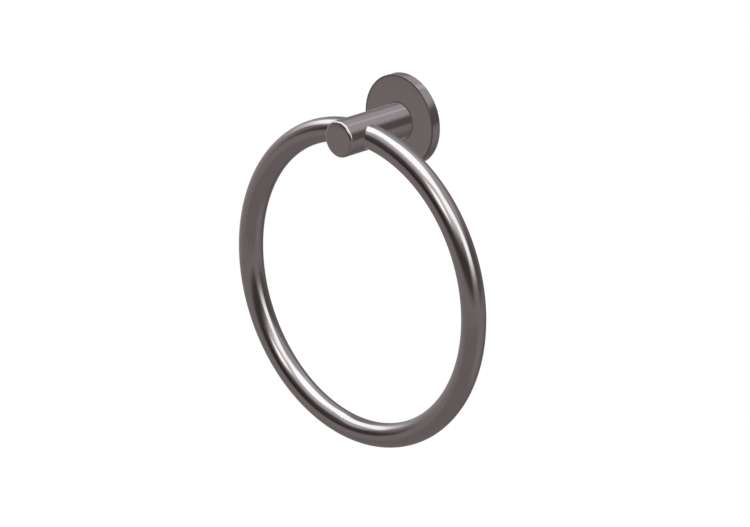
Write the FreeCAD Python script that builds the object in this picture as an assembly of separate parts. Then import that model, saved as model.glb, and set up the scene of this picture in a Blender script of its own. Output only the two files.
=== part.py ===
import FreeCAD, Part
import math
import os

# Towel ring. A tube bent to a full ring passes through a turned post. The post sits
# on a short stub, and a lock screw from below holds it there. The stub stands on a
# wall plate that a pressed cover rose hides.
# The wall is the plane y = 0, the object stands out towards -y and +z is up.
# The origin lies on the wall, on the axis of the post. All sizes are millimetres.

# Ring
ring_centreline_d = 152.0
ring_tube_d = 12.0
ring_tube_wall = 1.2
ring_plane_from_wall = 31.2
ring_joint_gap = 0.2
dowel_length = 16.0
dowel_play = 0.05
dowel_chamfer = 0.6

# Post
post_d = 18.0
post_beyond_ring = 15.5
post_tip_crown = 0.4
post_tip_edge_radius = 1.5
post_rear_chamfer = 0.2
ring_bore_play = 0.1

# Cover rose
rose_d = 45.5
rose_depth = 5.0
rose_sheet = 1.2
rose_edge_radius = 0.2
rose_inner_radius = 0.3
rose_hole_play = 0.15

# Wall plate
plate_sheet = 2.0
plate_play = 0.25
plate_edge_radius = 0.3
pad_inset = 0.3
pad_side_wall = 1.7
pad_bend_radius = 0.5
slot_width = 4.5
slot_length = 7.0
slot_countersink_d = 7.6

# Stub, with its screw and pin
stub_d = 12.0
stub_chamfer = 0.8
stub_socket_play = 0.1
stub_end_gap = 1.0
stub_screw_d = 4.0
stub_screw_length = 10.0
stub_screw_head_land = 0.25
stub_screw_hex = 2.5
stub_screw_hex_depth = 1.3
tapping_run_out = 1.0
pin_d = 1.5
pin_length = 4.0
pin_seat_depth = 1.2
pin_play = 0.02
pin_end_gap = 0.3
pin_chamfer = 0.15

# Grub screws
clamp_screw_d = 6.0
clamp_screw_length = 6.0
clamp_screw_hex = 3.0
clamp_screw_recess = 1.2
lock_screw_d = 4.0
lock_screw_sink = 0.3
lock_screw_bite = 1.3
lock_screw_hex = 2.0
screw_chamfer = 0.5
screw_hex_share = 0.45
thread_play = 0.05

# Radii
ring_r = ring_centreline_d / 2
tube_r = ring_tube_d / 2
tube_bore_r = tube_r - ring_tube_wall
post_r = post_d / 2
rose_r = rose_d / 2
rose_inner_r = rose_r - rose_sheet
plate_r = rose_inner_r - plate_play
pad_r = post_r - pad_inset
recess_r = pad_r - pad_side_wall
stub_r = stub_d / 2
socket_r = stub_r + stub_socket_play
stub_screw_r = stub_screw_d / 2
pin_r = pin_d / 2
clamp_screw_r = clamp_screw_d / 2
lock_screw_r = lock_screw_d / 2

# Places along y, counted from the wall towards -y
ring_y = -ring_plane_from_wall
post_tip_y = ring_y - post_beyond_ring
post_rear_y = -rose_depth
pad_front_y = -(rose_depth - rose_sheet)
pad_back_y = pad_front_y + plate_sheet
clamp_tip_y = ring_y + tube_r
clamp_head_y = clamp_tip_y + clamp_screw_length
socket_floor_y = clamp_head_y + clamp_screw_recess
stub_front_y = socket_floor_y + stub_end_gap
stub_screw_tip_y = pad_back_y - stub_screw_length
lock_screw_y = (post_rear_y + stub_front_y) / 2

# Places across the axis of the post
ring_centre_z = -ring_r
slot_centre_z = (pad_r + plate_r) / 2
lock_screw_head_z = -(post_r - lock_screw_sink)
lock_screw_tip_z = -(stub_r - lock_screw_bite)

# The screw's head is a 90 degree cone that ends a little short of the pad's front.
stub_screw_head_r = stub_screw_r + plate_sheet - stub_screw_head_land
# The locating pin stands midway between that cone and the outside of the stub.
head_r_at_pin = stub_screw_r + pin_seat_depth - stub_screw_head_land
pin_centre_z = (head_r_at_pin + stub_r) / 2

# The dowel is straight in a curved bore, so it is thinner than the bore and lies
# halfway down the rise of the arc.
dowel_half = dowel_length / 2
dowel_rise = ring_r - math.sqrt(ring_r ** 2 - dowel_half ** 2)
dowel_r = tube_bore_r - dowel_rise / 2 - dowel_play
dowel_z = -dowel_rise / 2

ORIGIN = FreeCAD.Vector(0, 0, 0)
ALONG_X = FreeCAD.Vector(1, 0, 0)
ALONG_Y = FreeCAD.Vector(0, 1, 0)
ALONG_Z = FreeCAD.Vector(0, 0, 1)


def rounded_wire(corners):
    """Closed wire through corners (u, v, radius), each rounded by its own radius."""
    count = len(corners)
    starts = []
    ends = []
    middles = []
    for i in range(count):
        u, v, radius = corners[i]
        point = FreeCAD.Vector(u, v, 0)
        before = FreeCAD.Vector(corners[i - 1][0], corners[i - 1][1], 0)
        after = FreeCAD.Vector(corners[(i + 1) % count][0], corners[(i + 1) % count][1], 0)
        to_before = (before - point).normalize()
        to_after = (after - point).normalize()
        half = to_before.getAngle(to_after) / 2
        reach = radius / math.tan(half)
        inward = to_before + to_after
        starts.append(point + to_before * reach)
        ends.append(point + to_after * reach)
        if radius > 0:
            inward.normalize()
            middles.append(point + inward * (radius / math.sin(half) - radius))
        else:
            middles.append(None)
    edges = []
    for i in range(count):
        if middles[i] is not None:
            edges.append(Part.Arc(starts[i], middles[i], ends[i]).toShape())
        edges.append(Part.LineSegment(ends[i], starts[(i + 1) % count]).toShape())
    return Part.Wire(edges)


def turned(corners):
    """Solid turned about the y axis from corners (radius, y, corner radius)."""
    return Part.Face(rounded_wire(corners)).revolve(ORIGIN, ALONG_Y, 360)


def rod_y(radius, y_from, y_to, x=0.0, z=0.0):
    """Plain rod along y."""
    low = min(y_from, y_to)
    return Part.makeCylinder(radius, abs(y_to - y_from), FreeCAD.Vector(x, low, z), ALONG_Y)


def hex_prism(across_flats, base, direction, depth):
    """Hexagonal prism that stands on its base point along a direction."""
    corner_r = across_flats / math.sqrt(3)
    points = []
    for i in range(7):
        angle = math.radians(60 * i)
        points.append(FreeCAD.Vector(corner_r * math.cos(angle), corner_r * math.sin(angle), 0))
    prism = Part.Face(Part.makePolygon(points)).extrude(FreeCAD.Vector(0, 0, depth))
    turn = FreeCAD.Rotation(ALONG_Z, direction)
    prism.Placement = FreeCAD.Placement(base, turn)
    return prism


def make_ring():
    """Bent tube; its two ends face each other across a small gap inside the post."""
    centre = FreeCAD.Vector(0, ring_y, ring_centre_z)
    gap_angle = 2 * math.asin(ring_joint_gap / 2 / ring_r)
    tube_centre = FreeCAD.Vector(0, ring_y, 0)
    outer = Part.Face(Part.Wire(Part.makeCircle(tube_r, tube_centre, ALONG_X)))
    inner = Part.Face(Part.Wire(Part.makeCircle(tube_bore_r, tube_centre, ALONG_X)))
    section = outer.cut(inner).Faces[0]
    section.rotate(centre, ALONG_Y, math.degrees(gap_angle) / 2)
    return section.revolve(centre, ALONG_Y, 360 - math.degrees(gap_angle))


def make_dowel():
    """Straight dowel inside both ends of the tube."""
    start = FreeCAD.Vector(-dowel_half, ring_y, dowel_z)
    dowel = Part.makeCylinder(dowel_r, dowel_length, start, ALONG_X)
    return dowel.makeChamfer(dowel_chamfer, end_circles(dowel, dowel_r))


def end_circles(solid, radius):
    """Full circular edges of one radius."""
    found = []
    for edge in solid.Edges:
        if edge.Degenerated or not edge.isClosed() or not isinstance(edge.Curve, Part.Circle):
            continue
        if abs(edge.Curve.Radius - radius) < 1e-6:
            found.append(edge)
    return found


def make_post():
    """Turned post with crowned tip, curved cross bore for the ring and rear socket."""
    crown_y = post_tip_y + post_tip_crown
    crown_r = (post_r ** 2 + post_tip_crown ** 2) / (2 * post_tip_crown)
    crown_mid_y = post_tip_y + crown_r - math.sqrt(crown_r ** 2 - (post_r / 2) ** 2)
    rear_centre = FreeCAD.Vector(0, post_rear_y, 0)
    rear_flat = FreeCAD.Vector(post_r - post_rear_chamfer, post_rear_y, 0)
    rear_side = FreeCAD.Vector(post_r, post_rear_y - post_rear_chamfer, 0)
    front_side = FreeCAD.Vector(post_r, crown_y, 0)
    crown_mid = FreeCAD.Vector(post_r / 2, crown_mid_y, 0)
    tip = FreeCAD.Vector(0, post_tip_y, 0)
    outline = Part.Wire([
        Part.LineSegment(rear_centre, rear_flat).toShape(),
        Part.LineSegment(rear_flat, rear_side).toShape(),
        Part.LineSegment(rear_side, front_side).toShape(),
        Part.Arc(front_side, crown_mid, tip).toShape(),
        Part.LineSegment(tip, rear_centre).toShape(),
    ])
    post = Part.Face(outline).revolve(ORIGIN, ALONG_Y, 360)
    tip_edges = []
    for edge in end_circles(post, post_r):
        if abs(edge.Curve.Center.y - crown_y) < 1e-6:
            tip_edges.append(edge)
    post = post.makeFillet(post_tip_edge_radius, tip_edges)

    ring_centre = FreeCAD.Vector(0, ring_y, ring_centre_z)
    ring_bore = Part.makeTorus(ring_r, tube_r + ring_bore_play, ring_centre, ALONG_Y)
    socket = rod_y(socket_r, post_rear_y, socket_floor_y)
    clamp_hole = rod_y(clamp_screw_r + thread_play, socket_floor_y, ring_y)
    lock_hole_base = FreeCAD.Vector(0, lock_screw_y, -post_r)
    lock_hole = Part.makeCylinder(lock_screw_r + thread_play, post_r, lock_hole_base, ALONG_Z)
    return post.cut([ring_bore, socket, clamp_hole, lock_hole])


def make_rose():
    """Pressed cover with a flat front, a short rim to the wall and a centre hole."""
    hole_r = stub_r + rose_hole_play
    inner_face_y = -(rose_depth - rose_sheet)
    return turned([
        (hole_r, -rose_depth, 0),
        (rose_r, -rose_depth, rose_edge_radius),
        (rose_r, 0, 0),
        (rose_inner_r, 0, 0),
        (rose_inner_r, inner_face_y, rose_inner_radius),
        (hole_r, inner_face_y, 0),
    ])


def slot_cut():
    """Cutter for one countersunk slot that runs along z, centred on the y axis."""
    narrow_r = slot_width / 2
    wide_r = slot_countersink_d / 2
    half_run = slot_length / 2 - narrow_r
    cone_y = -plate_sheet + wide_r - narrow_r
    cutters = [Part.makeBox(slot_width, plate_sheet, 2 * half_run,
                            FreeCAD.Vector(-narrow_r, -plate_sheet, -half_run))]
    wedge_points = [
        FreeCAD.Vector(-wide_r, -plate_sheet, -half_run),
        FreeCAD.Vector(wide_r, -plate_sheet, -half_run),
        FreeCAD.Vector(narrow_r, cone_y, -half_run),
        FreeCAD.Vector(-narrow_r, cone_y, -half_run),
        FreeCAD.Vector(-wide_r, -plate_sheet, -half_run),
    ]
    wedge = Part.Face(Part.makePolygon(wedge_points))
    cutters.append(wedge.extrude(FreeCAD.Vector(0, 0, 2 * half_run)))
    for z in (-half_run, half_run):
        front = FreeCAD.Vector(0, -plate_sheet, z)
        cutters.append(Part.makeCylinder(narrow_r, plate_sheet, front, ALONG_Y))
        cutters.append(Part.makeCone(wide_r, narrow_r, wide_r - narrow_r, front, ALONG_Y))
    return cutters[0].fuse(cutters[1:]).removeSplitter()


def make_plate():
    """Pressed steel disc with a raised centre pad and two countersunk slots."""
    plate = turned([
        (0, pad_front_y, 0),
        (pad_r, pad_front_y, pad_bend_radius),
        (pad_r, -plate_sheet, 0),
        (plate_r, -plate_sheet, plate_edge_radius),
        (plate_r, 0, 0),
        (recess_r, 0, pad_bend_radius),
        (recess_r, pad_back_y, 0),
        (0, pad_back_y, 0),
    ])
    cutters = [
        rod_y(stub_screw_r + thread_play, pad_front_y, pad_back_y),
        screw_cone(thread_play),
        rod_y(pin_r + pin_play, pad_front_y, pad_front_y + pin_seat_depth, z=pin_centre_z),
    ]
    for side in (-1, 1):
        slot = slot_cut()
        slot.translate(FreeCAD.Vector(0, 0, side * slot_centre_z))
        cutters.append(slot)
    return plate.cut(cutters)


def screw_cone(play):
    """90 degree cone of the stub screw's head, flush with the back of the pad."""
    height = stub_screw_head_r - stub_screw_r
    small = FreeCAD.Vector(0, pad_back_y - height, 0)
    return Part.makeCone(stub_screw_r + play, stub_screw_head_r + play, height, small, ALONG_Y)


def make_stub():
    """Turned stub with a tapped rear hole, a pin hole and a dimple for the lock screw."""
    stub = turned([
        (0, pad_front_y, 0),
        (stub_r, pad_front_y, 0),
        (stub_r, stub_front_y + stub_chamfer, 0),
        (stub_r - stub_chamfer, stub_front_y, 0),
        (0, stub_front_y, 0),
    ])
    tapped_end_y = stub_screw_tip_y - tapping_run_out
    tapped = rod_y(stub_screw_r + thread_play, pad_front_y, tapped_end_y)
    pin_end_y = pad_front_y + pin_seat_depth - pin_length - pin_end_gap
    pin_hole = rod_y(pin_r + pin_play, pad_front_y, pin_end_y, z=pin_centre_z)
    return stub.cut([tapped, pin_hole, lock_cone(thread_play)])


def lock_cone(play):
    """90 degree cone of the lock screw's point, larger all round by a play."""
    apex_z = lock_screw_tip_z + play * math.sqrt(2)
    reach = lock_screw_r + play
    base = FreeCAD.Vector(0, lock_screw_y, apex_z - reach)
    return Part.makeCone(reach, 0, reach, base, ALONG_Z)


def make_stub_screw():
    """Countersunk screw with a hexagon socket, from behind the plate into the stub."""
    shank = turned([
        (0, pad_back_y, 0),
        (stub_screw_r, pad_back_y, 0),
        (stub_screw_r, stub_screw_tip_y + screw_chamfer, 0),
        (stub_screw_r - screw_chamfer, stub_screw_tip_y, 0),
        (0, stub_screw_tip_y, 0),
    ])
    head_face = FreeCAD.Vector(0, pad_back_y, 0)
    key_hole = hex_prism(stub_screw_hex, head_face, -ALONG_Y, stub_screw_hex_depth)
    return shank.fuse(screw_cone(0)).removeSplitter().cut(key_hole)


def make_pin():
    """Plain pin that stops the stub from turning on the plate."""
    seat_y = pad_front_y + pin_seat_depth
    pin = rod_y(pin_r, seat_y, seat_y - pin_length, z=pin_centre_z)
    return pin.makeChamfer(pin_chamfer, end_circles(pin, pin_r))


def make_clamp_screw():
    """Grub screw along the post's axis; its flat end bears on the joint of the ring."""
    screw = turned([
        (0, clamp_head_y, 0),
        (clamp_screw_r - screw_chamfer, clamp_head_y, 0),
        (clamp_screw_r, clamp_head_y - screw_chamfer, 0),
        (clamp_screw_r, clamp_tip_y + screw_chamfer, 0),
        (clamp_screw_r - screw_chamfer, clamp_tip_y, 0),
        (0, clamp_tip_y, 0),
    ])
    head_face = FreeCAD.Vector(0, clamp_head_y, 0)
    return screw.cut(hex_prism(clamp_screw_hex, head_face, -ALONG_Y, clamp_screw_length * screw_hex_share))


def make_lock_screw():
    """Grub screw with a cone point, from below the post into the dimple of the stub."""
    length = lock_screw_tip_z - lock_screw_head_z
    base = FreeCAD.Vector(0, lock_screw_y, lock_screw_head_z)
    body = Part.makeCylinder(lock_screw_r, length - lock_screw_r, base, ALONG_Z)
    screw = body.fuse(lock_cone(0)).removeSplitter()
    return screw.cut(hex_prism(lock_screw_hex, base, ALONG_Z, length * screw_hex_share))


nodes = {
    "ring": make_ring,
    "ring_joint_dowel": make_dowel,
    "post": make_post,
    "ring_clamp_screw": make_clamp_screw,
    "post_lock_screw": make_lock_screw,
    "cover_rose": make_rose,
    "wall_plate": make_plate,
    "mounting_stub": make_stub,
    "stub_screw": make_stub_screw,
    "stub_locating_pin": make_pin,
}

os.makedirs("parts", exist_ok=True)
for name, make in nodes.items():
    shape = make()
    shape.exportStep(os.path.join("parts", name + ".step"))
    print(name, len(shape.Solids), shape.isValid(), round(shape.Volume, 1))
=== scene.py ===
import math

import bmesh
import bpy
from mathutils import Matrix, Vector


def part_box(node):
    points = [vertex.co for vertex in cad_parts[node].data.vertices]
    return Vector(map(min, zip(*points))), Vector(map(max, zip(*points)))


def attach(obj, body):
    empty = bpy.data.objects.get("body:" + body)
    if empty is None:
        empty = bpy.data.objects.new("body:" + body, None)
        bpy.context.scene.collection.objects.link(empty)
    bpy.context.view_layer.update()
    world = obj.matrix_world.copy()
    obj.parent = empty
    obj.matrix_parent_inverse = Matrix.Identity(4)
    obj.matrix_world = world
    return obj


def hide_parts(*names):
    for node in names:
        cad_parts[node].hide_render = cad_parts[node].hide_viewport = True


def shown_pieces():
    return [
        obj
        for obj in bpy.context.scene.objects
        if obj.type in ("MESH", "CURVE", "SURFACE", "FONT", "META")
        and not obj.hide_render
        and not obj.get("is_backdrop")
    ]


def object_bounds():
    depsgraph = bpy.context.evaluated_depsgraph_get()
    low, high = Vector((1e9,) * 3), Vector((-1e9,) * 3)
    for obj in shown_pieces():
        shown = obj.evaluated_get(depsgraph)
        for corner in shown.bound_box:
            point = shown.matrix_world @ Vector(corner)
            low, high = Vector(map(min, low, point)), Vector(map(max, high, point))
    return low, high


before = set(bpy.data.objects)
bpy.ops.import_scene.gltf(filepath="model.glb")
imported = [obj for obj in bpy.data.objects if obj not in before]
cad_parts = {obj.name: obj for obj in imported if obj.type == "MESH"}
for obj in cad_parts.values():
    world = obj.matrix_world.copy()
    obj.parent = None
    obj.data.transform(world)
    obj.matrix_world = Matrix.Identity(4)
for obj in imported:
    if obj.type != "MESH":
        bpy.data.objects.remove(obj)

cad_low, cad_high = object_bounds()

# The photograph's frame, and the ring's middle and centre-line radius in it.
IMAGE_WIDTH_PX = 750
IMAGE_HEIGHT_PX = 527
RING_MIDDLE_PX = (359.8, 282.3)
RING_RADIUS_PX = 157.8

# The camera: its direction from the ring in degrees, its distance and reach in metres.
VIEW_AZIMUTH = 45.0
VIEW_ELEVATION = 19.5
CAMERA_DISTANCE = 2.71
CAMERA_REACH = 100.0
SENSOR_WIDTH_MM = 36.0

# The floor, the lamp above it and the plain fill; lengths in metres, angles in degrees.
FLOOR_DROP = 0.6
FLOOR_SIZE = 40.0
FLOOR_PAINT = 0.9
FLOOR_GLOW = 0.75
FILL_LEVEL = 0.75
LAMP_SPREAD = 25
LAMP_TILT = (12, 8, 0)
LAMP_LEVEL = 1.3

# Where the cards hang, in metres; the size of their grid's steps, and the pole and how
# near to it they go, in degrees.
STUDIO_RADIUS = 3.2
CARD_SPACING = 0.02
FLOOR_CARD_SPACING = 0.002
CARD_GRID = 2.0
POLE = 90
NEAR_POLE = 89.9

# Colours of the cards.
NEUTRAL = (1.0, 1.0, 1.0)
CLEAR = (0.835, 1.0, 1.02)
MILD = (0.87, 0.975, 1.0)
COOL = (0.87, 0.95, 1.0)
PALE = (0.90, 1.0, 0.97)
WARM = (1.02, 1.0, 0.95)

# Name, azimuths, elevations, fade of the side and the level edges, level, colour.
# Angles are in degrees: azimuth 0 is the side of the room and 90 the object's right,
# and elevation 0 is level.
CARDS = (
    ("ground_board", (-180, 180), (-90, -20), (1, 14), 0.82, NEUTRAL),
    ("left_ground", (-92, -30), (-40, -10), (20, 16), 1.02, NEUTRAL),
    ("right_ground", (86, 142), (-52, -8), (20, 16), 1.04, NEUTRAL),
    ("back_board", (162, 248), (-62, 10), (24, 18), 0.60, NEUTRAL),
    ("overhead_box", (-180, 180), (60, 90), (1, 8), 8.1, CLEAR),
    ("high_back_panel", (119.5, 226), (31, 66), (12, 14), 2.15, COOL),
    ("high_back_strip", (173, 188), (40, 66), (6, 8), 2.95, COOL),
    ("left_level_panel", (-114, -63), (-20, 0), (16, 12), 1.28, NEUTRAL),
    ("left_low_panel", (-120, -76), (3, 30), (12, 12), 1.85, MILD),
    ("left_far_panel", (-122, -98), (-5, 11), (10, 8), 1.5, NEUTRAL),
    ("left_low_strip", (-105, -79), (12, 27), (8, 10), 3.5, MILD),
    ("left_box", (-104, -69), (22, 44), (14, 12), 7.4, CLEAR),
    ("left_middle_box", (-103, -55), (38, 56), (10, 8), 7.9, CLEAR),
    ("left_high_box", (-130, -60), (49, 66), (12, 8), 8.0, CLEAR),
    ("high_left_panel", (-56, 4), (38, 62), (12, 12), 2.2, COOL),
    ("high_left_strip", (-56, 14), (51, 63), (12, 8), 3.3, COOL),
    ("left_shoulder", (-64, -42), (25, 46), (8, 10), 2.8, COOL),
    ("front_low_box", (6, 76), (29, 62), (8, 8), 3.2, PALE),
    ("front_strip", (11, 33), (28, 47), (9, 7), 8.2, PALE),
    ("front_right_box", (54, 84), (42, 68), (14, 10), 7.6, CLEAR),
    ("right_strip", (76, 110), (14, 66), (12, 28), 7.6, CLEAR),
    ("front_flag", (-59, 64), (-6, 19), (18, 12), 0.24, WARM),
    ("front_flag_middle", (-29, 2), (3, 17), (12, 8), 0.12, WARM),
    ("front_high_flag", (-42, -5), (16, 33), (8, 10), 0.30, WARM),
    ("right_flag", (110, 160), (-7, 25), (14, 14), 0.46, WARM),
)

# Sizes of the ring, post and rose that their boxes don't give, in metres.
TUBE_WALL = 0.0012
RING_JOINT_GAP = 0.0002
RING_BORE_PLAY = 0.0001
TIP_CROWN = 0.0004
TIP_EDGE_RADIUS = 0.0015
POST_REAR_CHAMFER = 0.0002
SOCKET_PLAY = 0.0001
SOCKET_END_ROOM = 0.001
HOLE_PLAY = 0.00005
ROSE_SHEET = 0.0012
ROSE_EDGE_RADIUS = 0.0002
ROSE_INNER_RADIUS = 0.0003
ROSE_HOLE_PLAY = 0.00015

# How far the cutters reach: past a face in metres, out from the axis in radii of the
# post, and along the ring's bend in degrees.
CUTTER_MARGIN = 0.001
LOCK_CUTTER_REACH = 1.5
BORE_CUTTER_SPAN = (-12, 12)

# How finely the visible metal is divided, from which angle an edge is sharp, and the
# radius in metres below which a point is on the axis.
STEPS_ROUND_AXIS = 256
STEPS_ROUND_RING = 384
STEPS_ROUND_TUBE = 72
STEPS_ROUND_BORE = 24
STEPS_ALONG_CUTTER = 32
STEPS_ON_TIP = 16
STEPS_ON_ROSE_EDGE = 6
SHARP_ANGLE = math.radians(30)
ON_AXIS = 1e-9

# The metals: colour, how much it changes, least and most roughness. The nickel's edge
# is its tint at a grazing view.
NICKEL = (0.143, 0.119, 0.119)
NICKEL_EDGE = (0.71, 0.67, 0.685)
NICKEL_CHANGE = 0.04
NICKEL_ROUGHNESS = (0.10, 0.17)
ZINC = (0.62, 0.62, 0.60)
ZINC_CHANGE = 0.12
ZINC_ROUGHNESS = (0.28, 0.46)
BLACK_STEEL = (0.16, 0.15, 0.15)
BLACK_STEEL_CHANGE = 0.2
BLACK_STEEL_ROUGHNESS = (0.32, 0.5)
BRASS = (0.72, 0.55, 0.28)
BRASS_CHANGE = 0.06
BRASS_ROUGHNESS = (0.22, 0.34)

# Their patterns: scale in marks to the metre and how many finer layers.
SMUDGES = (55.0, 3.0)
TONE = (18.0, 2.0)
POLISHING = (900.0, 4.0)
TURNING = (2600.0, 3.0)
MOTTLE = (420.0, 4.0)
PLATING = (1500.0, 4.0)
GRAIN = (1200.0, 4.0)
BRASS_TONE = (200.0, 2.0)

# Depths of their relief, in metres.
NICKEL_RELIEF = 0.000004
ZINC_RELIEF = 0.00001
BLACK_STEEL_RELIEF = 0.00001
BRASS_RELIEF = 0.000006

# Painted shade: a dark line round the foot of the post stands for the shadow where it
# meets the rose, and one along the rose's front edge for a shaded outline. The tone is a
# share of the colour, and the rest is in metres.
SHADE_LINE_TONE = 0.5
LINE_SOFT = 0.0001
LINE_MARGIN = 0.001
FOOT_LINE_WIDTH = 0.0005
RIM_LINE_WIDTH = 0.0008
RIM_LINE_DEPTH = 0.00025

# Painted shade in the hollows on the wall side: the recess behind the plate's pad and the key
# hole in the stub screw's head. Tones are shares of the colour, and the rest is in metres, but
# the recess is darkest from a share of the head's depth down to just past the head.
HOLLOW_SIDE_SOFT = 0.00005
RECESS_SHADE_TONE = 0.55
RECESS_RADIUS = 0.0070
RECESS_DARK_FROM = 0.9
RECESS_PAST_HEAD = 0.0001
RECESS_SOFT = 0.001
KEY_SHADE_TONE = 0.12
KEY_RADIUS = 0.00148
KEY_DEPTHS = (0.0004, 0.002)
KEY_SOFT = 0.0002


def middle_of(node):
    """Middle of a node's box, in metres."""
    low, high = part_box(node)
    return (Vector(low) + Vector(high)) / 2


def size_of(node):
    """Size of a node's box, in metres."""
    low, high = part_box(node)
    return Vector(high) - Vector(low)


def radius_of(node):
    """Radius of a round node: half the width of its box."""
    return size_of(node).x / 2


def ring_radii():
    """Radius of the ring's tube, and that of the ring to the middle of its tube."""
    tube_radius = size_of("ring").y / 2
    return tube_radius, radius_of("ring") - tube_radius


def evenly(start, end, steps):
    """Values from the start to the end in even steps."""
    return [start + (end - start) * i / steps for i in range(steps + 1)]


def round_turn(steps):
    """Angles of one whole turn in even steps, in radians."""
    return [2 * math.pi * i / steps for i in range(steps)]


def direction(azimuth, elevation):
    """Unit vector towards an azimuth and an elevation in degrees."""
    az, el = math.radians(azimuth), math.radians(elevation)
    return Vector((math.cos(el) * math.sin(az), -math.cos(el) * math.cos(az), math.sin(el)))


def add_object(name, data):
    """New object in the scene."""
    thing = bpy.data.objects.new(name, data)
    bpy.context.scene.collection.objects.link(thing)
    return thing


class Nodes:
    """Short ways to add and join the nodes of one material or world."""

    def __init__(self, tree):
        self.tree = tree
        tree.nodes.clear()

    def add(self, kind, **settings):
        """New node with its settings."""
        node = self.tree.nodes.new(kind)
        for name, value in settings.items():
            setattr(node, name, value)
        return node

    def link(self, source, target):
        """Joins an output to an input."""
        self.tree.links.new(source, target)

    def show(self, kind, surface):
        """Ends the tree with an output node that shows the surface."""
        self.link(surface, self.add(kind).inputs["Surface"])

    def math(self, operation, first, second):
        """Value worked out from two others."""
        node = self.add("ShaderNodeMath", operation=operation)
        self.link(first, node.inputs[0])
        self.link(second, node.inputs[1])
        return node.outputs[0]

    def blend(self, share, first, second):
        """The first shader where the share is 0 and the second where it is 1."""
        node = self.add("ShaderNodeMixShader")
        for source, target in zip((share, first, second), node.inputs):
            self.link(source, target)
        return node.outputs[0]

    def fit(self, value, low, high):
        """A value from 0 to 1 brought between low and high."""
        node = self.add("ShaderNodeMapRange")
        node.inputs["To Min"].default_value = low
        node.inputs["To Max"].default_value = high
        self.link(value, node.inputs["Value"])
        return node.outputs["Result"]

    def ramp(self, value, start, end):
        """Smooth change from 0 at the start to 1 at the end, whichever of them is higher."""
        node = self.add("ShaderNodeMapRange", interpolation_type="SMOOTHSTEP")
        node.inputs["From Min"].default_value = start
        node.inputs["From Max"].default_value = end
        self.link(value, node.inputs["Value"])
        return node.outputs["Result"]

    def within(self, value, low, high, soft):
        """1 where a value lies between two limits, 0 outside them, with soft ends."""
        return self.math("MULTIPLY", self.ramp(value, low - soft, low),
                         self.ramp(value, high + soft, high))

    def place(self):
        """The place of a point on the object, in metres."""
        return self.add("ShaderNodeTexCoord").outputs["Object"]

    def coordinate(self, where, name):
        """One coordinate of a place."""
        node = self.add("ShaderNodeSeparateXYZ")
        self.link(where, node.inputs["Vector"])
        return node.outputs[name]

    def radius(self, where):
        """Distance of a place from the axis of the post."""
        flat = self.add("ShaderNodeCombineXYZ")
        for name in ("X", "Z"):
            self.link(self.coordinate(where, name), flat.inputs[name])
        length = self.add("ShaderNodeVectorMath", operation="LENGTH")
        self.link(flat.outputs["Vector"], length.inputs[0])
        return length.outputs["Value"]

    def noise(self, where, pattern):
        """Cloudy pattern over a place."""
        node = self.add("ShaderNodeTexNoise")
        node.inputs["Scale"].default_value, node.inputs["Detail"].default_value = pattern
        self.link(where, node.inputs["Vector"])
        return node.outputs["Fac"]

    def turning_lines(self, along):
        """Fine lines left by turning: they change only with one coordinate or radius."""
        node = self.add("ShaderNodeTexNoise", noise_dimensions="1D")
        node.inputs["Scale"].default_value, node.inputs["Detail"].default_value = TURNING
        self.link(along, node.inputs["W"])
        return node.outputs["Fac"]


def new_material(name):
    """New material and its node helper."""
    material = bpy.data.materials.new(name)
    material.use_nodes = True
    return material, Nodes(material.node_tree)


def new_metal(name):
    """New metal; returns its material, its node helper and its shader."""
    material, nodes = new_material(name)
    shader = nodes.add("ShaderNodeBsdfPrincipled")
    shader.inputs["Metallic"].default_value = 1.0
    nodes.show("ShaderNodeOutputMaterial", shader.outputs["BSDF"])
    return material, nodes, shader


def vary_colour(nodes, shader, colour, change, pattern):
    """Colour a little darker and lighter over a pattern."""
    mix = nodes.add("ShaderNodeMix", data_type="RGBA")
    mix.inputs["A"].default_value = [c * (1 - change) for c in colour] + [1]
    mix.inputs["B"].default_value = [c * (1 + change) for c in colour] + [1]
    nodes.link(pattern, mix.inputs["Factor"])
    nodes.link(mix.outputs["Result"], shader.inputs["Base Color"])


def vary_roughness(nodes, shader, limits, pattern):
    """Roughness between two limits over a pattern."""
    nodes.link(nodes.fit(pattern, *limits), shader.inputs["Roughness"])


def add_relief(nodes, shader, depth, pattern):
    """Bump of a depth in metres over a pattern."""
    bump = nodes.add("ShaderNodeBump")
    bump.inputs["Distance"].default_value = depth
    nodes.link(pattern, bump.inputs["Height"])
    nodes.link(bump.outputs["Normal"], shader.inputs["Normal"])


def darken(nodes, shader, mask, tone):
    """Brings the shader's colour down to a share of it where the mask is 1."""
    colour = shader.inputs["Base Color"].links[0].from_socket
    mix = nodes.add("ShaderNodeMix", data_type="RGBA", blend_type="MULTIPLY")
    mix.inputs["B"].default_value = (tone, tone, tone, 1)
    nodes.link(mask, mix.inputs["Factor"])
    nodes.link(colour, mix.inputs["A"])
    nodes.link(mix.outputs["Result"], shader.inputs["Base Color"])


def paint_rose_edge_shade(nodes, shader, where):
    """Painted shade: thin dark lines round the foot of the post, as the shadow where it meets the
    rose, and along the rose's front edge, as a shaded outline.
    """
    radius = nodes.radius(where)
    foot = radius_of("post")
    edge = radius_of("cover_rose")
    front_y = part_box("cover_rose")[0][1]
    near_foot = nodes.within(radius, foot - LINE_MARGIN, foot + FOOT_LINE_WIDTH, LINE_SOFT)
    near_rim = nodes.within(radius, edge - RIM_LINE_WIDTH, edge + LINE_MARGIN, LINE_SOFT)
    near_front = nodes.within(nodes.coordinate(where, "Y"), front_y - LINE_MARGIN,
                              front_y + RIM_LINE_DEPTH, LINE_SOFT)
    darken(nodes, shader, near_foot, SHADE_LINE_TONE)
    darken(nodes, shader, nodes.math("MULTIPLY", near_rim, near_front), SHADE_LINE_TONE)


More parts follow.
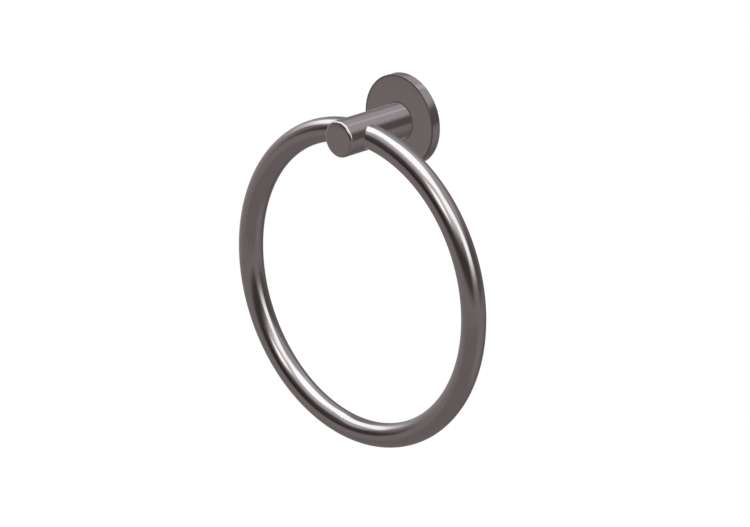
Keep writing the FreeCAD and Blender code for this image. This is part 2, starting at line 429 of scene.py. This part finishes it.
def dark_nickel(name, kind):
    """Polished dark nickel: soft smudges, fine polishing lines, faint change of tone.

    Its lines are those of a polished tube, of a turned bar or of a turned face.
    """
    material, nodes, shader = new_metal(name)
    where = nodes.place()
    vary_colour(nodes, shader, NICKEL, NICKEL_CHANGE, nodes.noise(where, TONE))
    vary_roughness(nodes, shader, NICKEL_ROUGHNESS, nodes.noise(where, SMUDGES))
    if kind == "tube":
        lines = nodes.noise(where, POLISHING)
    elif kind == "bar":
        lines = nodes.turning_lines(nodes.coordinate(where, "Y"))
    else:
        lines = nodes.turning_lines(nodes.radius(where))
        # Painted shade: a shadow line round the post's foot and a dark outline along the rose's
        # front edge.
        paint_rose_edge_shade(nodes, shader, where)
    add_relief(nodes, shader, NICKEL_RELIEF, lines)
    shader.inputs["Specular Tint"].default_value = (*NICKEL_EDGE, 1)
    return material


def shade_hollow(nodes, shader, where, radius, depths, soft, tone):
    """Paints shade on the walls and floor of a hollow round the axis of the post, seen from the
    wall.
    """
    inside = nodes.ramp(nodes.radius(where), radius + HOLLOW_SIDE_SOFT, radius)
    deep = nodes.within(nodes.coordinate(where, "Y"), -depths[1], -depths[0], soft)
    darken(nodes, shader, nodes.math("MULTIPLY", inside, deep), tone)


def zinc_plate(name):
    """Zinc-plated steel: a mottled, slightly dull bright metal, with painted shade in its hollows.
    """
    material, nodes, shader = new_metal(name)
    where = nodes.place()
    mottle = nodes.noise(where, MOTTLE)
    vary_colour(nodes, shader, ZINC, ZINC_CHANGE, mottle)
    head_depth = -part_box("stub_screw")[1][1]
    recess_depths = (head_depth * RECESS_DARK_FROM, head_depth + RECESS_PAST_HEAD)
    key_depths = [head_depth + depth for depth in KEY_DEPTHS]
    # Painted shade in the recess behind the pad and in the key hole of the stub screw's head.
    shade_hollow(nodes, shader, where, RECESS_RADIUS, recess_depths, RECESS_SOFT, RECESS_SHADE_TONE)
    shade_hollow(nodes, shader, where, KEY_RADIUS, key_depths, KEY_SOFT, KEY_SHADE_TONE)
    vary_roughness(nodes, shader, ZINC_ROUGHNESS, mottle)
    add_relief(nodes, shader, ZINC_RELIEF, nodes.noise(where, PLATING))
    return material


def black_steel(name):
    """Blackened steel of the grub screws."""
    material, nodes, shader = new_metal(name)
    grain = nodes.noise(nodes.place(), GRAIN)
    vary_colour(nodes, shader, BLACK_STEEL, BLACK_STEEL_CHANGE, grain)
    vary_roughness(nodes, shader, BLACK_STEEL_ROUGHNESS, grain)
    add_relief(nodes, shader, BLACK_STEEL_RELIEF, grain)
    return material


def turned_brass(name):
    """Plain turned brass of the dowel."""
    material, nodes, shader = new_metal(name)
    where = nodes.place()
    lines = nodes.turning_lines(nodes.coordinate(where, "X"))
    vary_colour(nodes, shader, BRASS, BRASS_CHANGE, nodes.noise(where, BRASS_TONE))
    vary_roughness(nodes, shader, BRASS_ROUGHNESS, lines)
    add_relief(nodes, shader, BRASS_RELIEF, lines)
    return material


def arc(middle, radius, start, end, steps):
    """Points (u, v) of an arc from one angle to another, in degrees."""
    points = []
    for degrees in evenly(start, end, steps):
        angle = math.radians(degrees)
        points.append((middle[0] + radius * math.cos(angle), middle[1] + radius * math.sin(angle)))
    return points


def finished(name, mesh):
    """Object of a closed mesh: smooth, with its real edges sharp."""
    shape = bmesh.new()
    shape.from_mesh(mesh)
    bmesh.ops.recalc_face_normals(shape, faces=shape.faces)
    shape.to_mesh(mesh)
    shape.free()
    mesh.polygons.foreach_set("use_smooth", [True] * len(mesh.polygons))
    mesh.set_sharp_from_angle(angle=SHARP_ANGLE)
    return add_object(name, mesh)


def built(name, shape):
    """Object of a closed shape, which is freed."""
    mesh = bpy.data.meshes.new(name)
    shape.to_mesh(mesh)
    shape.free()
    return finished(name, mesh)


def add_band(shape, here, after):
    """Faces between two rings of vertices; a ring may be one vertex many times over."""
    for i in range(len(here)):
        k = (i + 1) % len(here)
        corners = []
        for vertex in (here[i], here[k], after[k], after[i]):
            if vertex not in corners:
                corners.append(vertex)
        if len(corners) > 2:
            shape.faces.new(corners)


def turned(name, outline):
    """Solid turned about the axis of the post from a closed outline of (radius, y)."""
    shape = bmesh.new()
    rings = []
    for radius, y in outline:
        if radius < ON_AXIS:
            rings.append([shape.verts.new((0, y, 0))] * STEPS_ROUND_AXIS)
            continue
        rings.append([shape.verts.new((radius * math.cos(angle), y, radius * math.sin(angle)))
                      for angle in round_turn(STEPS_ROUND_AXIS)])
    for j in range(len(rings)):
        add_band(shape, rings[j - 1], rings[j])
    return built(name, shape)


def rod(name, radius, y_low, y_high):
    """Plain rod along the axis of the post."""
    return turned(name, [(0, y_low), (radius, y_low), (radius, y_high), (0, y_high)])


def tube_section(shape, middle, out, bend_radius, radius, steps):
    """Ring of vertices round a bent tube; out points from the bend's middle to the ring."""
    section = []
    for turn in round_turn(steps):
        reach = bend_radius + radius * math.cos(turn)
        sideways = Vector((0, radius * math.sin(turn), 0))
        section.append(shape.verts.new(middle + out * reach + sideways))
    return section


def close_end(shape, rims):
    """Flat end of a tube between its rims, or of a bar inside its one rim."""
    edges = []
    for rim in rims:
        for i in range(len(rim)):
            edges.append(shape.edges.get((rim[i - 1], rim[i])))
    bmesh.ops.triangle_fill(shape, edges=edges, use_beauty=True)


def bent_tube(name, middle, bend_radius, radii, span, steps):
    """Tube bent about a line along y over a span of degrees, counted from the top.

    Its radii are that of the outside and, if it is hollow, that of the bore.
    """
    shape = bmesh.new()
    skins = []
    for radius, steps_round in zip(radii, (STEPS_ROUND_TUBE, STEPS_ROUND_BORE)):
        sections = []
        for degrees in evenly(*span, steps):
            angle = math.radians(degrees)
            out = Vector((math.sin(angle), 0, math.cos(angle)))
            sections.append(tube_section(shape, middle, out, bend_radius, radius, steps_round))
        for j in range(steps):
            add_band(shape, sections[j], sections[j + 1])
        skins.append(sections)
    for end in (0, -1):
        close_end(shape, [sections[end] for sections in skins])
    return built(name, shape)


def cut(thing, cutters):
    """Cuts the cutters out of a solid and deletes them."""
    for cutter in cutters:
        boolean = thing.modifiers.new("cut", "BOOLEAN")
        boolean.operation = "DIFFERENCE"
        boolean.solver = "EXACT"
        boolean.object = cutter
    evaluated = thing.evaluated_get(bpy.context.evaluated_depsgraph_get())
    mesh = bpy.data.meshes.new_from_object(evaluated)
    name = thing.name
    bpy.data.objects.remove(thing)
    for cutter in cutters:
        bpy.data.objects.remove(cutter)
    return finished(name, mesh)


def stand_for(thing, node, material):
    """The piece stands for a node: it takes the material, the node is hidden, and it joins the
    root body.
    """
    thing.data.materials.clear()
    thing.data.materials.append(material)
    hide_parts(node)
    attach(thing, "root")


def make_ring():
    """Ring: a tube bent to a full circle, with its joint inside the post."""
    tube_radius, bend_radius = ring_radii()
    half_gap = math.degrees(RING_JOINT_GAP / 2 / bend_radius)
    ring = bent_tube("ring_tube", middle_of("ring"), bend_radius,
                     (tube_radius, tube_radius - TUBE_WALL),
                     (half_gap, 360 - half_gap), STEPS_ROUND_RING)
    stand_for(ring, "ring", dark_nickel("ring_nickel", "tube"))


def post_outline():
    """Half section of the post's bar: chamfered rear, rounded rim and slight crown of the tip."""
    low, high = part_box("post")
    radius = radius_of("post")
    crown_radius = (radius ** 2 + TIP_CROWN ** 2) / (2 * TIP_CROWN)
    edge_y = low[1] + TIP_CROWN + TIP_EDGE_RADIUS
    edge_inner = radius - TIP_EDGE_RADIUS
    slope = math.degrees(math.asin(edge_inner / crown_radius))
    outline = [(0, high[1]), (radius - POST_REAR_CHAMFER, high[1]),
               (radius, high[1] - POST_REAR_CHAMFER)]
    outline += arc((edge_inner, edge_y), TIP_EDGE_RADIUS, 0, slope - 90, STEPS_ON_TIP)
    rim_radius, rim_y = outline[-1]
    for i in range(1, STEPS_ON_TIP + 1):
        share = 1 - i / STEPS_ON_TIP
        outline.append((rim_radius * share, low[1] + (rim_y - low[1]) * share ** 2))
    return outline


def post_cutters():
    """Cutters of the ring's bore, the stub's socket and the holes of the two grub screws."""
    tube_radius, bend_radius = ring_radii()
    ring_middle = middle_of("ring")
    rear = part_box("post")[1][1]
    socket_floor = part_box("mounting_stub")[0][1] - SOCKET_END_ROOM
    bore = bent_tube("bore_cutter", ring_middle, bend_radius,
                     (tube_radius + RING_BORE_PLAY,), BORE_CUTTER_SPAN, STEPS_ALONG_CUTTER)
    socket = rod("socket_cutter", radius_of("mounting_stub") + SOCKET_PLAY,
                 socket_floor, rear + CUTTER_MARGIN)
    clamp = rod("clamp_cutter", radius_of("ring_clamp_screw") + HOLE_PLAY,
                ring_middle.y, socket_floor + CUTTER_MARGIN)
    lock = rod("lock_cutter", radius_of("post_lock_screw") + HOLE_PLAY,
               0, radius_of("post") * LOCK_CUTTER_REACH)
    lock.data.transform(Matrix.Rotation(math.radians(-90), 4, "X"))
    lock.data.transform(Matrix.Translation((0, middle_of("post_lock_screw").y, 0)))
    return bore, socket, clamp, lock


def make_post():
    """Post: turned bar with crowned tip, curved cross bore, rear socket and screw holes."""
    post = cut(turned("post_bar", post_outline()), post_cutters())
    stand_for(post, "post", dark_nickel("post_nickel", "bar"))


def make_rose():
    """Rose: pressed cover with a flat front, a short rim and a centre hole."""
    low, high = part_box("cover_rose")
    radius = radius_of("cover_rose")
    hole = radius_of("mounting_stub") + ROSE_HOLE_PLAY
    inner_radius = radius - ROSE_SHEET
    inner_y = low[1] + ROSE_SHEET
    outline = [(hole, low[1])]
    outline += arc((radius - ROSE_EDGE_RADIUS, low[1] + ROSE_EDGE_RADIUS),
                   ROSE_EDGE_RADIUS, -90, 0, STEPS_ON_ROSE_EDGE)
    outline += [(radius, high[1]), (inner_radius, high[1])]
    outline += arc((inner_radius - ROSE_INNER_RADIUS, inner_y + ROSE_INNER_RADIUS),
                   ROSE_INNER_RADIUS, 0, -90, STEPS_ON_ROSE_EDGE)
    outline.append((hole, inner_y))
    rose = turned("rose_shell", outline)
    stand_for(rose, "cover_rose", dark_nickel("rose_nickel", "face"))


def dress(node, material):
    """Gives a carried-over node its material."""
    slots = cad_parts[node].data.materials
    slots.clear()
    slots.append(material)


def dress_nodes():
    """Materials of the nodes that show as they are."""
    zinc = zinc_plate("zinc_plated_steel")
    black = black_steel("blackened_steel")
    dress("ring_joint_dowel", turned_brass("dowel_brass"))
    for node in ("wall_plate", "mounting_stub", "stub_screw", "stub_locating_pin"):
        dress(node, zinc)
    for node in ("ring_clamp_screw", "post_lock_screw"):
        dress(node, black)


def keep_out_of_reflections():
    """No piece shows in the metal of another."""
    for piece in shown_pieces():
        piece.visible_glossy = False


def seen_rays(nodes):
    """1 for rays from the camera, a reflection or a transmission, 0 for the rest."""
    path = nodes.add("ShaderNodeLightPath")
    first = nodes.math("MAXIMUM", path.outputs["Is Camera Ray"], path.outputs["Is Glossy Ray"])
    return nodes.math("MAXIMUM", first, path.outputs["Is Transmission Ray"])


def make_world():
    """White background, and a plain soft fill for what it lights."""
    world = bpy.data.worlds.new("studio")
    world.use_nodes = True
    bpy.context.scene.world = world
    nodes = Nodes(world.node_tree)
    fill = nodes.add("ShaderNodeBackground")
    fill.inputs["Strength"].default_value = FILL_LEVEL
    white = nodes.add("ShaderNodeBackground")
    for background in (fill, white):
        background.inputs["Color"].default_value = (1, 1, 1, 1)
    nodes.show("ShaderNodeOutputWorld",
               nodes.blend(seen_rays(nodes), fill.outputs[0], white.outputs[0]))


def floor_material():
    """Pale floor that shows as white and keeps a faint shadow."""
    material, nodes = new_material("pale_floor")
    paint = nodes.add("ShaderNodeBsdfDiffuse")
    paint.inputs["Color"].default_value = (FLOOR_PAINT, FLOOR_PAINT, FLOOR_PAINT, 1)
    glow = nodes.add("ShaderNodeEmission")
    share = nodes.fit(seen_rays(nodes), 0, FLOOR_GLOW)
    nodes.show("ShaderNodeOutputMaterial",
               nodes.blend(share, paint.outputs[0], glow.outputs[0]))
    return material


def card_material(name, level, colour):
    """Glow that fades out where the card's cover falls to 0."""
    material, nodes = new_material(name)
    clear = nodes.add("ShaderNodeBsdfTransparent")
    glow = nodes.add("ShaderNodeEmission")
    glow.inputs["Color"].default_value = (*colour, 1)
    glow.inputs["Strength"].default_value = level
    cover = nodes.add("ShaderNodeAttribute", attribute_name="cover")
    nodes.show("ShaderNodeOutputMaterial",
               nodes.blend(cover.outputs["Fac"], clear.outputs[0], glow.outputs[0]))
    return material


def grid_object(name, rows, material):
    """Smooth mesh object from rows of points, all of the same length."""
    points = [point for row in rows for point in row]
    width = len(rows[0])
    faces = []
    for j in range(len(rows) - 1):
        for i in range(width - 1):
            corner = j * width + i
            faces.append((corner, corner + 1, corner + 1 + width, corner + width))
    mesh = bpy.data.meshes.new(name)
    mesh.from_pydata(points, [], faces)
    mesh.polygons.foreach_set("use_smooth", [True] * len(faces))
    mesh.materials.append(material)
    return add_object(name, mesh)


def floor_z():
    """Height of the floor."""
    return cad_low.z - FLOOR_DROP


def make_floor():
    """Wide floor below the ring."""
    half = FLOOR_SIZE / 2
    rows = [[(x, y, floor_z()) for x in (-half, half)] for y in (-half, half)]
    grid_object("floor", rows, floor_material())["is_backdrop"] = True


def soft_step(value):
    """0 below 0, 1 above 1, and a smooth rise between."""
    value = min(max(value, 0.0), 1.0)
    return value * value * (3 - 2 * value)


def card_steps(start, end, fade, closed):
    """Angles across a card, each with the card's cover there.

    The cover is a half at each stated edge and fades about it, unless the card is closed there.
    """
    low = start if closed[0] else start - fade / 2
    high = end if closed[1] else end + fade / 2
    steps = []
    for angle in evenly(low, high, math.ceil((high - low) / CARD_GRID)):
        cover = min(1 if closed[0] else (angle - low) / fade,
                    1 if closed[1] else (high - angle) / fade)
        steps.append((angle, soft_step(cover)))
    return steps


def card_point(order, azimuth, elevation):
    """Place of a card in one direction: later cards hang in front of earlier ones.

    What would be below the floor lies on it.
    """
    centre = (cad_low + cad_high) / 2
    reach = STUDIO_RADIUS - order * CARD_SPACING
    if elevation < 0:
        drop = centre.z - floor_z() - (order + 1) * FLOOR_CARD_SPACING
        reach = min(reach, drop / -math.sin(math.radians(elevation)))
    return centre + reach * direction(azimuth, elevation)


def make_card(order, name, azimuths, elevations, fade, level, colour):
    """Curved card round the object, with soft edges, that shows only in reflections."""
    whole = azimuths[1] - azimuths[0] >= 360
    columns = card_steps(*azimuths, fade[0], (whole, whole))
    lines = card_steps(max(elevations[0], -NEAR_POLE), min(elevations[1], NEAR_POLE),
                       fade[1], (elevations[0] <= -POLE, elevations[1] >= POLE))
    rows = [[card_point(order, azimuth, elevation) for azimuth, across in columns]
            for elevation, upright in lines]
    cover = [upright * across for elevation, upright in lines for azimuth, across in columns]
    card = grid_object(name, rows, card_material(name, level, colour))
    card.data.attributes.new("cover", "FLOAT", "POINT").data.foreach_set("value", cover)
    card.visible_camera = False
    card.visible_diffuse = False
    card.visible_shadow = False
    card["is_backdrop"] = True


def make_studio():
    """Softboxes and panels for the bright bands, flags and boards for the dark ones."""
    for order, card in enumerate(CARDS):
        make_card(order, *card)


def make_lamp():
    """Soft lamp from above that gives the floor its shadow."""
    lamp = bpy.data.lights.new("soft_lamp", "SUN")
    lamp.angle = math.radians(LAMP_SPREAD)
    lamp.energy = LAMP_LEVEL
    thing = add_object("soft_lamp", lamp)
    thing.rotation_euler = [math.radians(tilt) for tilt in LAMP_TILT]
    thing.visible_camera = False
    thing.visible_glossy = False


def make_camera():
    """Camera that puts the middle of the ring where the photograph has it."""
    azimuth = math.radians(VIEW_AZIMUTH)
    back = direction(VIEW_AZIMUTH, VIEW_ELEVATION)
    right = Vector((math.cos(azimuth), math.sin(azimuth), 0))
    up = back.cross(right)
    metres_per_px = ring_radii()[1] / RING_RADIUS_PX
    off_right = ((IMAGE_WIDTH_PX - 1) / 2 - RING_MIDDLE_PX[0]) * metres_per_px
    off_up = (RING_MIDDLE_PX[1] - (IMAGE_HEIGHT_PX - 1) / 2) * metres_per_px
    data = bpy.data.cameras.new("camera")
    data.sensor_width = SENSOR_WIDTH_MM
    data.lens = SENSOR_WIDTH_MM * CAMERA_DISTANCE / (IMAGE_WIDTH_PX * metres_per_px)
    data.clip_end = CAMERA_REACH
    camera = add_object("camera", data)
    camera.location = middle_of("ring") + back * CAMERA_DISTANCE + right * off_right + up * off_up
    camera.rotation_mode = "QUATERNION"
    camera.rotation_quaternion = back.to_track_quat("Z", "Y")
    bpy.context.scene.camera = camera


bpy.context.scene.view_settings.view_transform = "Standard"
make_world()
make_floor()
make_studio()
make_lamp()
make_camera()
make_ring()
make_post()
make_rose()
dress_nodes()
keep_out_of_reflections()
